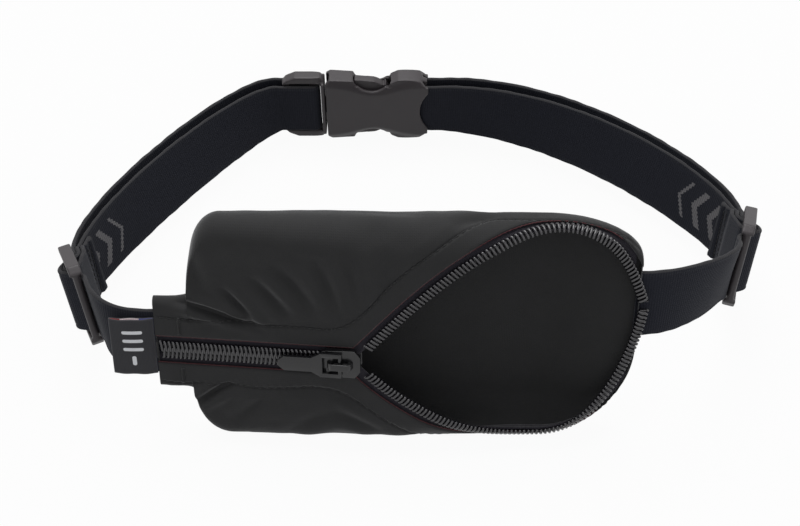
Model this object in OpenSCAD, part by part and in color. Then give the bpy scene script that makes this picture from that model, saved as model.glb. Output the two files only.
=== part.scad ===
// Travel money belt: a stretch pouch with a half-open coil zip on an adjustable
// elastic belt with two tri-glides and a side-release buckle.
// The belt stands on its lower edges, with the wearer's side towards +Y.

/* [Pouch] */
// Length of the pouch between its two sewn ends
pouch_l = 168; // [150:1:190]
// Height of the pouch
pouch_h = 86; // [78:1:104]
// Thickness of the pouch where it is full
pouch_t = 22; // [16:1:27]
// Thickness of the stretch fabric
fabric_t = 1; // [0.6:0.1:1.2]
// Height of the flat sewn tab at each end
tab_h = 36; // [32:1:42]
// Length of the flat sewn tab at the left end
tab_l = 12; // [9:1:16]
// Thickness of the flat sewn tabs
tab_t = 4.8; // [4.6:0.1:6]
// Height of the middle of the left tab above the pouch's lower edge
left_tab_z = 37; // [30:1:45]
// Height of the middle of the right tab above the pouch's lower edge
right_tab_z = 52; // [40:1:56]
// Length over which the left end rounds off
left_corner = 13; // [9:1:20]
// Length over which the right end rounds off
right_corner = 33; // [24:1:40]
// How far the pouch leans back from upright
lean = 22; // [10:1:26]

/* [Zip] */
// Length of the closed stretch, from the left end to the front of the slider
closed_l = 72; // [60:1:84]
// Height of the zip at the left end above the pouch's lower edge
zip_z = 35; // [31:1:38]
// How far the zip falls from the left end to the slider
zip_fall = 0; // [0:1:8]
// Height to which the upper edge of the open mouth is drawn
mouth_top = 117; // [90:1:124]
// Height to which the lower edge of the open mouth is drawn
mouth_bottom = -28; // [-34:1:0]
// Width of one coil, half of the chain
coil_w = 3.2; // [2.6:0.1:3.4]
// Height of the coil above its tape
coil_h = 1.85; // [1.5:0.05:2]
// Width of bare tape beside the coil
tape_show = 2.7; // [2.4:0.1:4]
// Thickness of the tape
tape_t = 0.6; // [0.4:0.05:0.7]
// Length of the slider's body
slider_l = 14; // [11:0.5:16]
// Width of the slider's body
slider_w = 10.8; // [9.6:0.1:11]
// Thickness of each plate of the slider
plate_t = 1.3; // [1:0.1:1.6]
// Length of the pull beyond its hinge
pull_l = 21.5; // [16:0.5:30]
// Width of the pull at its fork
fork_w = 9.4; // [8:0.1:11]
// Width of the pull's tongue
tongue_w = 5.6; // [4:0.1:8]

/* [Straps] */
// Width of the elastic strap
strap_w = 25.4; // [20:0.1:30]
// Thickness of the elastic strap
strap_t = 1.6; // [1.2:0.1:1.8]
// Length of the stitched end that is folded round each tri-glide
flap_l = 27; // [18:1:34]
// Width of the woven label
label_w = 16; // [12:1:20]
// Height of the woven label
label_h = 22; // [14:1:26]

/* [Hardware] */
// Radius of the bars that the straps pass round
bar_r = 1.5; // [1.2:0.1:1.8]
// Distance from the centre bar to each end bar of a tri-glide
bar_pitch = 10.5; // [9.5:0.5:13]
// Width of the rails beside the strap on a tri-glide
rail_w = 3.4; // [2.6:0.1:7]
// Thickness of the rails
rail_t = 4.6; // [3:0.1:6]
// Length of the closed buckle
buckle_l = 63; // [58:1:70]
// Thickness of the buckle
buckle_t = 9.6; // [9:0.1:12]
// Thickness of the buckle's front and back plates
shell_t = 2; // [1.6:0.1:2.2]
// Height of the buckle's sides beyond the strap slot
buckle_side = 3.5; // [3:0.1:5]
// Length of the collar that the arms pass through
collar_l = 12; // [10:0.5:14]

/* [Loop] */
// Distance of the left tri-glide from the middle of the pouch
left_reach = 117; // [112:1:130]
// Distance of the right tri-glide from the middle of the pouch
right_reach = 130; // [122:1:140]
// How far the loop leans outwards, at its fullest
loop_lean = 20; // [0:1:26]
// How far the two layers of the loop spread apart, at their widest
layer_spread = 3; // [0:0.5:4]
// Distance from the pouch's lower front edge back to the buckle
loop_depth = 159; // [140:1:190]
// Distance of the middle of the buckle to the left of the middle of the pouch
buckle_shift = 18; // [0:1:25]

/* [Clearances] */
// Room between a strap and whatever it passes
strap_gap = 0.3; // [0.2:0.05:0.5]
// Room between moving pieces
move_gap = 0.3; // [0.2:0.05:0.4]
// Room beside a strap in its slot
slot_gap = 0.8; // [0.4:0.1:1.5]

/* [Hidden] */

// Colours
fabric_colour = [0.15, 0.15, 0.16];
strap_colour = [0.11, 0.12, 0.14];
plastic_colour = [0.24, 0.23, 0.24];
zip_colour = [0.08, 0.08, 0.1];

// Pouch
half_l = pouch_l / 2;
half_t = pouch_t / 2;
half_tab = tab_t / 2;
mid_d = 5;
slider_front = closed_l - half_l;
pouch_y = -16;
floor_z = half_t * (1 - cos(lean)) + mid_d * sin(lean);

// Zip layers, measured outwards from the outer face of the fabric
tape_out = -fabric_t - move_gap;
tape_in = tape_out - tape_t;
coil_in = tape_out + 0.15;
coil_out = coil_in + coil_h;
chain_half = coil_w + tape_show;
tape_hidden = 3;
post_room = 2;
ridge_room = 5.5;
hem_room = 1.5;
chain_drop = half_t - half_tab;
zip_yaw = atan2(-chain_drop, closed_l);
chain_run = norm([closed_l, chain_drop]);
zip_pitch = atan2(zip_fall, chain_run);
chain_l = norm([chain_run, zip_fall]);
slider_mid = chain_l - slider_l / 2;
plate_y = -coil_out - move_gap - plate_t;
pin_r = 0.75;
pin_y = plate_y - pin_r - 0.15;
pull_t = 1.3;

// Straps
layer = strap_t + strap_gap;
ring_1 = bar_r + strap_gap + strap_t / 2;
ring_2 = ring_1 + layer;
ring_3 = ring_2 + layer;
cross = asin((ring_1 + ring_2) / bar_pitch);
climb = asin((ring_3 - ring_1) / bar_pitch);
glide_half = bar_pitch + bar_r + 2;
slot_half = strap_w / 2 + slot_gap;
insert = 4;
glide_pull = 25;
anchor_pull = 12;
tab_pull = 16;

// Buckle
buckle_h = slot_half + buckle_side;
bar_in = bar_r + 0.5;
strap_slot = strap_t + 2 * strap_gap + 1.6;
male_l = 19;
fold_bar_x = -5.6;
core_t = buckle_t - 2 * shell_t;
arm_t = core_t - 2 * move_gap;
arm_root = [2.4, 9];
arm_root_r = 2.3;
collar_room = buckle_h - 2.6;

// Where each side of the belt runs: tri-glide centre, heading, fall, buckle bar, height
// of the tab, how far the strap runs straight from the bar, and how wide it then turns
back_y = pouch_y + loop_depth;
left_bar = buckle_shift + buckle_l / 2 - male_l - fold_bar_x;
right_bar = buckle_l / 2 - buckle_shift - bar_in;
left_lead = fold_bar_x + male_l - bar_in + 3;
right_lead = bar_in + 3;
left_side = [[left_reach, 30, 26.5], 65, 22, left_bar, left_tab_z, left_lead, 17];
right_side = [[right_reach, 47, 28.5], 72, 25, right_bar, right_tab_z, right_lead, 64];

// Middle of the base of the belt's box
base_mid = [(right_reach - left_reach) / 2 - 0.81, (back_y + pouch_y) / 2 + 0.93, 0];

// ---------------------------------------------------------------- helpers
function clamp(v, lo, hi) = min(hi, max(lo, v));
function mix(a, b, t) = a + (b - a) * t;
function ease(t) = let (c = clamp(t, 0, 1)) c * c * (3 - 2 * c);
function round_off(t) = let (c = clamp(t, 0, 1)) sqrt(1 - (1 - c) * (1 - c));
function bezier(p, t) = let (u = 1 - t)
    u * u * u * p[0] + 3 * u * u * t * p[1] + 3 * u * t * t * p[2] + t * t * t * p[3];
function bezier_way(p, t) = let (u = 1 - t)
    u * u * (p[1] - p[0]) + 2 * u * t * (p[2] - p[1]) + t * t * (p[3] - p[2]);
function arc(centre, r, from, to, steps = 7) = [
    for (i = [0:steps]) let (a = mix(from, to, i / steps)) centre + r * [cos(a), sin(a)]
];
function reversed(list) = [for (i = [len(list) - 1:-1:0]) list[i]];

// A closed sheet between two grids of points, one list of rows for each column
module shell(outer, inner) {
    columns = len(outer);
    rows = len(outer[0]);
    size = columns * rows;
    at = function (k, i, j) k * size + i * rows + j;
    points = [for (grid = [outer, inner]) for (column = grid) for (p = column) p];
    quads = [
        for (i = [0:columns - 2]) for (j = [0:rows - 2]) each [
            [at(0, i, j), at(0, i, j + 1), at(0, i + 1, j + 1), at(0, i + 1, j)],
            [at(1, i, j), at(1, i + 1, j), at(1, i + 1, j + 1), at(1, i, j + 1)],
        ],
        for (i = [0:columns - 2]) each [
            [at(0, i, 0), at(0, i + 1, 0), at(1, i + 1, 0), at(1, i, 0)],
            [at(0, i + 1, rows - 1), at(0, i, rows - 1), at(1, i, rows - 1), at(1, i + 1, rows - 1)],
        ],
        for (j = [0:rows - 2]) each [
            [at(0, 0, j + 1), at(0, 0, j), at(1, 0, j), at(1, 0, j + 1)],
            [at(0, columns - 1, j), at(0, columns - 1, j + 1),
                at(1, columns - 1, j + 1), at(1, columns - 1, j)],
        ],
    ];
    polyhedron(points, [for (q = quads) each [[q[0], q[1], q[2]], [q[0], q[2], q[3]]]]);
}

// ---------------------------------------------------------------- pouch shape
// Upper and lower outline of the pouch at x, and half its thickness there
function top_at(x) = x < 0
    ? mix(left_tab_z + tab_h / 2, pouch_h, round_off((x + half_l - tab_l) / left_corner))
    : mix(right_tab_z + tab_h / 2, pouch_h, round_off((half_l - x) / right_corner));
function bottom_at(x) = x < 0
    ? mix(left_tab_z - tab_h / 2, 0, round_off((x + half_l - tab_l) / left_corner))
    : mix(right_tab_z - tab_h / 2, 0, round_off((half_l - x) / right_corner));
function depth_at(x) = x < slider_front
    ? mix(half_tab, half_t, (x + half_l) / closed_l)
    : mix(half_tab, half_t, ease((half_l - x) / right_corner));
function middle_at(x) = (top_at(x) + bottom_at(x)) / 2;
function flat_at(x) = (top_at(x) - bottom_at(x)) / 2 - depth_at(x);
function ridge_at(x) = flat_at(x) + depth_at(x) * PI / 2;

// A point of the pouch's section at x: s runs up the face from its middle,
// off is the distance outside the fabric, and side is 1 in front, -1 behind
function skin(x, s, off, side = 1) =
    let (b = depth_at(x), r = b + off, over = abs(s) - flat_at(x))
    over <= 0
        ? [x, mid_d - side * r, middle_at(x) + s]
        : let (a = over / b * 180 / PI)
          [x, mid_d - side * r * cos(a), middle_at(x) + sign(s) * (flat_at(x) + r * sin(a))];
// How far up the face the height z lies
function face_s(x, z) =
    let (v = z - middle_at(x), over = abs(v) - flat_at(x), b = depth_at(x))
    over <= 0 ? v : sign(v) * (flat_at(x) + b * asin(min(1, over / b)) * PI / 180);

// Columns of the pouch from left to right
left_columns = concat(
    [-half_l, tab_l / 2 - half_l],
    [for (i = [0:6]) tab_l - half_l + left_corner * (1 - cos(15 * i))]
);
middle_columns = [for (i = [1:4]) mix(tab_l - half_l + left_corner, slider_front, i / 5)];
right_columns = [for (i = [1:5]) mix(slider_front, half_l - right_corner, i / 5)];
corner_columns = [for (i = [1:6]) half_l - right_corner * (1 - sin(15 * i))];

// The two edges of the open mouth, as (x, height) curves that leave the slider
// and meet again at the right tab; side is 1 above and -1 below
mouth_steps = 20;
slider_z = zip_z - zip_fall;
mouth_start = [slider_front, slider_z];
mouth_end = [half_l, right_tab_z];
upper_mouth = [mouth_start, [16, 67], [64, mouth_top], mouth_end];
lower_mouth = [mouth_start, [8, 10], [74, mouth_bottom], mouth_end];
function mouth(side) = [
    for (i = [0:mouth_steps])
        let (p = bezier(side > 0 ? upper_mouth : lower_mouth, i / mouth_steps))
        let (limit = ridge_at(p[0]) - ridge_room)
        [p[0], clamp(face_s(p[0], p[1]), -limit, limit)]
];
// The chain's middle line along the closed stretch, at the columns given
function closed_chain(columns) = [
    for (x = columns) [x, face_s(x, mix(zip_z, slider_z, (x + half_l) / closed_l))]
];
function whole_chain(side) = concat(closed_chain(concat(left_columns, middle_columns)), mouth(side));
function fabric_edge(p, side) =
    let (e = p[1] + side * chain_half) side * min(side * e, ridge_at(p[0]) - hem_room);

module in_pouch() translate([0, pouch_y, floor_z]) rotate([-lean, 0, 0]) children();

// Front panel above (side 1) or below (side -1) the zip
module front_panel(side) {
    rows = 9;
    line = whole_chain(side);
    grid = function (off) [
        for (p = line) let (from = fabric_edge(p, side), to = side * ridge_at(p[0])) [
            for (j = [0:rows]) skin(p[0], side > 0 ? mix(from, to, j / rows) : mix(to, from, j / rows), off)
        ]
    ];
    shell(grid(0), grid(-fabric_t));
}

// A strip along the zip between two distances from the chain's middle line
module zip_strip(line, side, from, to, out, in) {
    rows = 4;
    grid = function (off) [
        for (p = line)
            let (limit = ridge_at(p[0]) - 0.4, low = min(side * p[1] + from, limit - 0.4))
            let (high = min(side * p[1] + to, limit))
            [for (j = [0:rows]) skin(p[0], side * mix(low, high, (side > 0 ? j : rows - j) / rows), off)]
    ];
    shell(grid(out), grid(in));
}

module pouch_back_panel() color(fabric_colour) in_pouch() {
    rows = 14;
    line = concat(left_columns, middle_columns, [slider_front], right_columns, corner_columns);
    grid = function (off) [
        for (x = line) [for (j = [0:rows]) skin(x, mix(-1, 1, j / rows) * ridge_at(x), off, -1)]
    ];
    shell(grid(-fabric_t), grid(0));
}
module pouch_upper_panel() color(fabric_colour) in_pouch() front_panel(1);
module pouch_lower_panel() color(fabric_colour) in_pouch() front_panel(-1);

// ---------------------------------------------------------------- zip
tape_start = insert + 1 - half_l;
tape_columns = concat([tape_start], [for (x = left_columns) if (x > tape_start + 1) x], middle_columns);
module zip_tape(side) zip_strip(
    concat(closed_chain(tape_columns), [for (i = [0:mouth_steps - 2]) mouth(side)[i]]),
    side, post_room, chain_half + tape_hidden, tape_out, tape_in
);
module zip_tape_upper() color(zip_colour) in_pouch() zip_tape(1);
module zip_tape_lower() color(zip_colour) in_pouch() zip_tape(-1);

// The closed coil stops short of the slider's post, and the open one starts past it
closed_ends = closed_chain([1.5 - half_l, slider_front - 6]);
module closed_coil(side) zip_strip(closed_ends, side, 0.05, coil_w, coil_out, coil_in);
module open_coil(side) zip_strip(
    [for (i = [1:mouth_steps - 1]) mouth(side)[i]], side, 0.05, coil_w, coil_out, coil_in
);
module zip_coil_upper_closed() color(zip_colour) in_pouch() closed_coil(1);
module zip_coil_lower_closed() color(zip_colour) in_pouch() closed_coil(-1);
module zip_coil_upper_open() color(zip_colour) in_pouch() open_coil(1);
module zip_coil_lower_open() color(zip_colour) in_pouch() open_coil(-1);

// Frame of the closed chain: X along it, Y into the pouch, origin at its left end
module in_zip() in_pouch() translate([-half_l, mid_d - half_tab, zip_z])
    rotate([0, zip_pitch, zip_yaw]) children();
module slab(y, t) translate([0, y + t, 0]) rotate([90, 0, 0]) linear_extrude(t) children();

module zip_end_stops() color(zip_colour) in_zip()
    slab(-coil_out, coil_h) translate([0, -coil_w]) square([0.9, 2 * coil_w]);

// Outline of the slider's plates: narrow behind, shouldered in front
module plate_outline(w) {
    h = w / 2;
    polygon([
        [-slider_l / 2, 1.6 - h], [1 - slider_l / 2, 0.6 - h], [2, -h], [slider_l / 2 - 2, -h],
        [slider_l / 2, 2.6 - h], [slider_l / 2, h - 2.6], [slider_l / 2 - 2, h], [2, h],
        [1 - slider_l / 2, h - 0.6], [-slider_l / 2, h - 1.6],
    ]);
}
module zip_slider_body() color(plastic_colour) in_zip() translate([slider_mid, 0, 0]) {
    lower_y = -tape_in + move_gap;
    flange = 0.8;
    flange_y = -tape_out - move_gap;
    slab(plate_y, plate_t) plate_outline(slider_w);
    slab(lower_y, plate_t) plate_outline(slider_w - 1);
    slab(plate_y, lower_y - plate_y + 0.2)
        polygon([[1.6, 0], [4.4, -1.3], [6.6, -0.5], [6.6, 0.5], [4.4, 1.3]]);
    for (side = [-1, 1])
        slab(plate_y, flange_y - plate_y)
            translate([-slider_l / 2 + 2, side > 0 ? slider_w / 2 - flange - 0.3 : 0.3 - slider_w / 2])
                square([slider_l - 6, flange]);
}
bridge_t = 0.9;
bridge_room = 2 * pin_r + 0.3;
module zip_slider_bridge() color(plastic_colour) in_zip() translate([slider_mid, 0, 0])
    translate([0, plate_y, -1.3]) mirror([0, 1, 0]) linear_extrude(2.6) difference() {
        polygon([
            [-4.6, 0], [-3.9, bridge_room + 0.2], [-2.9, bridge_room + bridge_t],
            [2.9, bridge_room + bridge_t], [3.9, bridge_room + 0.2], [4.6, 0],
        ]);
        translate([-2.8, -1]) square([5.6, bridge_room + 1]);
    }
module zip_pull() color(plastic_colour) in_zip() translate([slider_mid, pin_y, 0]) {
    arm = 1.5;
    fork_l = 7;
    cylinder(h = fork_w, r = pin_r, center = true, $fn = 32);
    slab(-pull_t / 2, pull_t) difference() {
        union() {
            translate([-fork_l, -fork_w / 2]) square([fork_l, fork_w]);
            polygon([
                [-fork_l + 0.5, -fork_w / 2], [-fork_l + 0.5, fork_w / 2], [-fork_l - 3, tongue_w / 2],
                [2 - pull_l, tongue_w / 2], [-pull_l, 1], [-pull_l, -1],
                [2 - pull_l, -tongue_w / 2], [-fork_l - 3, -tongue_w / 2],
            ]);
        }
        translate([-fork_l + 1, arm - fork_w / 2]) square([fork_l, fork_w - 2 * arm]);
    }
}

// ---------------------------------------------------------------- trim
// A folded label that hangs from the left tab's end in front of the strap
module woven_label() color("dimgray") in_pouch()
    translate([-half_l, mid_d - strap_t / 2 - strap_gap, zip_z + 1 - label_h / 2]) linear_extrude(label_h) {
        sheet = 0.5;
        fold = 0.2;
        edge = sheet + fold / 2;
        reach = label_w - edge;
        polygon(concat(
            [[-move_gap, 0]],
            arc([-reach, -edge], edge, 90, 270),
            [[-move_gap, -2 * edge], [-move_gap, -edge - fold / 2]],
            arc([-reach, -edge], fold / 2, 270, 90), [[-move_gap, -sheet]]
        ));
    }
// Dense stitches across the left tab, above and below the zip
module bartacks() color("black") in_pouch() for (side = [-1, 1])
    translate([9 - half_l, mid_d - depth_at(10 - half_l) - 0.5, zip_z + side * 10 - 3]) cube([0.9, 0.5, 6]);

// ---------------------------------------------------------------- straps
// Each side is drawn to the right, and the left side is mirrored.
// A side is [tri-glide centre, heading, fall, x of the buckle's bar, tab height,
// straight run from the bar, width of the turn after it].
function heading_way(heading, fall) =
    [cos(fall) * cos(heading), cos(fall) * sin(heading), -sin(fall)];
function tab_end(side) =
    [half_l,
        pouch_y + mid_d * cos(lean) + side[4] * sin(lean),
        floor_z - mid_d * sin(lean) + side[4] * cos(lean)];
function anchor_route(side) = let (way = heading_way(side[1], side[2]), end = side[0] - glide_half * way)
    [tab_end(side), tab_end(side) + [tab_pull, 0, 0], end - anchor_pull * way, end];
function loop_route(side) = let (way = heading_way(side[1], side[2]), start = side[0] + glide_half * way)
    let (end = [side[3] + side[5], back_y, buckle_h])
    [start, start + glide_pull * way, end + [side[6], 0, 0], end];

// Lower and upper edge of a strap at t on its route, offset inwards by in;
// roll leans its upper edge inwards
function strap_ring(route, t, in, roll) =
    let (way = bezier_way(route, t), heading = atan2(way[1], way[0]), fall = -asin(way[2] / norm(way)))
    let (flat = [-sin(heading), cos(heading), 0])
    let (rise = [sin(fall) * cos(heading), sin(fall) * sin(heading), cos(fall)])
    let (inward = flat * cos(roll) - rise * sin(roll), up = rise * cos(roll) + flat * sin(roll))
    let (p = bezier(route, t) + in * inward)
    [p - up * strap_w / 2, p + up * strap_w / 2];
// A length of strap, with the roll that it starts with, and the lean and the
// spread that it has at its fullest
module ribbon(route, from_in, to_in, steps, to = 1, roll = 0, lean_out = 0, spread = 0) {
    grid = function (off) [
        for (i = [0:steps]) let (t = to * i / steps, full = sin(180 * t))
            strap_ring(
                route, t, mix(from_in, to_in, ease(t)) + spread * full + off,
                roll * (1 - ease(t)) - lean_out * full
            )
    ];
    shell(grid(-strap_t / 2), grid(strap_t / 2));
}
module loop_strap(side, from_in, to_in, spread) ribbon(
    loop_route(side), from_in, to_in, 30, lean_out = loop_lean, spread = spread
);
// The frame of a tri-glide: X along the strap, Y inwards, Z across the strap
module at_glide(side) translate(side[0]) rotate([0, side[2], side[1]]) children();

// Lines that run round the bars of a tri-glide, offset by o from a strap's middle
function running_line(o) = concat(
    [[-glide_half, ring_1 + o]],
    arc([-bar_pitch, 0], ring_1 + o, 90, 90 - cross),
    arc([0, 0], ring_2 - o, 270 - cross, 270 + cross, 10),
    arc([bar_pitch, 0], ring_1 + o, 90 + cross, 90),
    [[glide_half, ring_1 + o]]
);
function hem_line(o) = concat(
    [[glide_half, ring_2 - o]],
    arc([bar_pitch, 0], ring_2 - o, 90, 90 + cross),
    arc([0, 0], ring_1 + o, 270 + cross, 90 + climb, 16),
    arc([bar_pitch, 0], ring_3 + o, 90 + climb, 90),
    [[glide_half, ring_3 + o]]
);
module strap_through(side, line_a, line_b)
    at_glide(side) translate([0, 0, -strap_w / 2]) linear_extrude(strap_w)
        polygon(concat(line_a, reversed(line_b)));

module anchor_strap(side) {
    ribbon(anchor_route(side), 0, ring_1, 16, roll = lean);
    strap_through(side, running_line(-strap_t / 2), running_line(strap_t / 2));
    translate(tab_end(side)) rotate([-lean, 0, 0]) translate([-insert, -strap_t / 2, -strap_w / 2])
        cube([insert, strap_t, strap_w]);
}
module strap_outer(side) loop_strap(side, ring_1, -buckle_ring, -layer_spread / 2);
module strap_inner(side) loop_strap(side, ring_2, buckle_ring, layer_spread / 2);
module strap_hem(side) strap_through(side, hem_line(-strap_t / 2), hem_line(strap_t / 2));
// Share of the loop's line that the stitched flap covers
function flap_share(side) = let (route = loop_route(side), steps = 20, reach = 0.4)
    let (way = [for (i = [0:steps]) norm(bezier_way(route, reach * i / steps)) * 3 * reach / steps])
    let (covered = [for (i = 0, sum = 0; i <= steps; sum = sum + way[i], i = i + 1) [sum, reach * i / steps]])
    lookup(flap_l - glide_half, covered);
module hem_flap(side) ribbon(
    loop_route(side), ring_3, ring_3, 5, flap_share(side), lean_out = loop_lean, spread = layer_spread / 2
);

buckle_ring = ring_1;
fold_r = buckle_ring + strap_t / 2;
module buckle_fold(side) translate([side[3], back_y, buckle_h - strap_w / 2]) linear_extrude(strap_w)
    polygon(concat(
        [[side[5], fold_r]],
        arc([0, 0], fold_r, 90, 270, 12),
        [[side[5], -fold_r], [side[5], strap_t - fold_r]],
        arc([0, 0], fold_r - strap_t, 270, 90, 12), [[side[5], fold_r - strap_t]]
    ));

module tri_glide(side) at_glide(side) {
    rail_x = bar_pitch + bar_r;
    corner = rail_w - 1;
    for (x = [-bar_pitch, 0, bar_pitch])
        translate([x, 0, 0]) cylinder(h = 2 * slot_half + 1, r = bar_r, center = true, $fn = 32);
    for (side_z = [-1, 1])
        rotate([90, 0, 0]) linear_extrude(rail_t, center = true) scale([1, side_z]) polygon([
            [-rail_x, slot_half], [-rail_x, slot_half + rail_w - corner], [corner - rail_x, slot_half + rail_w],
            [rail_x - corner, slot_half + rail_w], [rail_x, slot_half + rail_w - corner], [rail_x, slot_half],
        ]);
}

module left() mirror([1, 0, 0]) children();
module left_anchor_strap() color(strap_colour) left() anchor_strap(left_side);
module left_strap_outer() color(strap_colour) left() strap_outer(left_side);
module left_strap_inner() color(strap_colour) left() strap_inner(left_side);
module left_strap_hem() color(strap_colour) left() strap_hem(left_side);
module left_hem_flap() color(strap_colour) left() hem_flap(left_side);
module left_buckle_fold() color(strap_colour) left() buckle_fold(left_side);
module left_tri_glide() color(plastic_colour) left() tri_glide(left_side);
module right_anchor_strap() color(strap_colour) anchor_strap(right_side);
module right_strap_outer() color(strap_colour) strap_outer(right_side);
module right_strap_inner() color(strap_colour) strap_inner(right_side);
module right_strap_hem() color(strap_colour) strap_hem(right_side);
module right_hem_flap() color(strap_colour) hem_flap(right_side);
module right_buckle_fold() color(strap_colour) buckle_fold(right_side);
module right_tri_glide() color(plastic_colour) tri_glide(right_side);

// ---------------------------------------------------------------- buckle
// Frame of the buckle: X from the male end to the female end, Z across it,
// origin where the male base meets the collar
collar_x = buckle_l / 2 - male_l;
module at_buckle() translate([-buckle_shift - collar_x, back_y, buckle_h]) children();
module upright(t) rotate([90, 0, 0]) linear_extrude(t, center = true) children();
female_l = buckle_l - male_l;
lobe_l = 16;
window_l = female_l - collar_l - lobe_l;
window_end = collar_l + window_l;
pad_r = window_l / 2;
scoop_r = 15.5;

// Outline of the female half: collar, scooped waist and two rear lobes
module female_outline() difference() {
    translate([0.2, -buckle_h]) square([female_l - 0.2, 2 * buckle_h]);
    for (side = [-1, 1]) translate([collar_l + pad_r, side * (buckle_h + 2)]) circle(r = pad_r + 0.2, $fn = 48);
    translate([female_l + scoop_r - 3.5, 0]) circle(r = scoop_r, $fn = 64);
    for (side = [-1, 1]) translate([-0.1, side * buckle_h]) rotate(45) square(3, center = true);
    for (side = [-1, 1]) translate([female_l, side * buckle_h]) rotate(45) square(5, center = true);
}
module buckle_female() color(plastic_colour) at_buckle() {
    wall = buckle_h - collar_room;
    web_x = female_l - bar_in - bar_r - strap_slot;
    strap_room = buckle_ring + strap_t / 2 + strap_gap;
    for (side = [-1, 1]) {
        difference() {
            translate([0, side * (buckle_t - shell_t) / 2, 0]) upright(shell_t) female_outline();
            upright(2 * strap_room) translate([web_x, -slot_half]) square([female_l, 2 * slot_half]);
        }
        upright(core_t + 0.02) translate([1.7, side > 0 ? collar_room : -buckle_h])
            square([collar_l - 1.7, wall]);
        upright(core_t + 0.02) translate([window_end, side > 0 ? slot_half : -buckle_h])
            square([female_l - window_end - 2.6, buckle_side]);
    }
    upright(core_t + 0.02) translate([web_x - 2.4, -slot_half - 1]) square([2.4, 2 * slot_half + 2]);
    translate([female_l - bar_in, 0, 0]) cylinder(h = 2 * slot_half + 2, r = bar_r, center = true, $fn = 32);
    for (side = [-1, 1])
        upright(2 * bar_r)
            translate([female_l - bar_in - 4, side > 0 ? slot_half : -slot_half - 2.4])
                square([4 + bar_r, 2.4]);
}
module buckle_male_base() color(plastic_colour) at_buckle() {
    end_x = bar_in - male_l;
    web = [fold_bar_x + fold_r + strap_gap, -move_gap];
    guide_l = female_l * 0.6;
    guide_w = 2.4;
    for (x = [end_x, fold_bar_x])
        translate([x, 0, 0]) cylinder(h = 2 * slot_half + 2, r = bar_r, center = true, $fn = 32);
    for (side = [-1, 1]) upright(2 * bar_r + 2) scale([1, side])
        polygon([
            [end_x - bar_r, slot_half], [end_x, slot_half + 2], [end_x + 4, buckle_h],
            [-2, buckle_h], [-move_gap, buckle_h - 2], [-move_gap, slot_half],
        ]);
    upright(buckle_t - 1) translate([web[0], -slot_half - 1]) square([web[1] - web[0], 2 * slot_half + 2]);
    upright(arm_t) polygon([
        [web[0], -guide_w], [guide_l - 2, 0.4 - guide_w], [guide_l, 0],
        [guide_l - 2, guide_w - 0.4], [web[0], guide_w],
    ]);
}
module buckle_arm(side) at_buckle() upright(arm_t) scale([1, side]) polygon(concat(
    arc(arm_root, arm_root_r, 270, 90, 8),
    [[collar_l, collar_room - 1.6], [collar_l + 0.5, buckle_h - 0.6]],
    arc([collar_l + pad_r - 1, buckle_h - pad_r - 0.2], pad_r, 76, 24),
    [[window_end - 0.6, collar_room - 5.4], [window_end - 3, collar_room - 6.4]],
    [[collar_l + 2, collar_room - 5.2], [collar_l - 4, 7.4]]
));
module buckle_arm_upper() color(plastic_colour) buckle_arm(1);
module buckle_arm_lower() color(plastic_colour) buckle_arm(-1);

// ---------------------------------------------------------------- assembly
module placed() translate(-base_mid) children();
placed() pouch_back_panel();
placed() pouch_upper_panel();
placed() pouch_lower_panel();
placed() zip_tape_upper();
placed() zip_tape_lower();
placed() zip_coil_upper_closed();
placed() zip_coil_lower_closed();
placed() zip_coil_upper_open();
placed() zip_coil_lower_open();
placed() zip_end_stops();
placed() zip_slider_body();
placed() zip_slider_bridge();
placed() zip_pull();
placed() woven_label();
placed() bartacks();
placed() left_anchor_strap();
placed() left_strap_outer();
placed() left_strap_inner();
placed() left_strap_hem();
placed() left_hem_flap();
placed() left_buckle_fold();
placed() left_tri_glide();
placed() right_anchor_strap();
placed() right_strap_outer();
placed() right_strap_inner();
placed() right_strap_hem();
placed() right_hem_flap();
placed() right_buckle_fold();
placed() right_tri_glide();
placed() buckle_female();
placed() buckle_male_base();
placed() buckle_arm_upper();
placed() buckle_arm_lower();
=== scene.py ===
import math

import bmesh
import bpy
import numpy as np
from mathutils import Matrix, Vector


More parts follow.
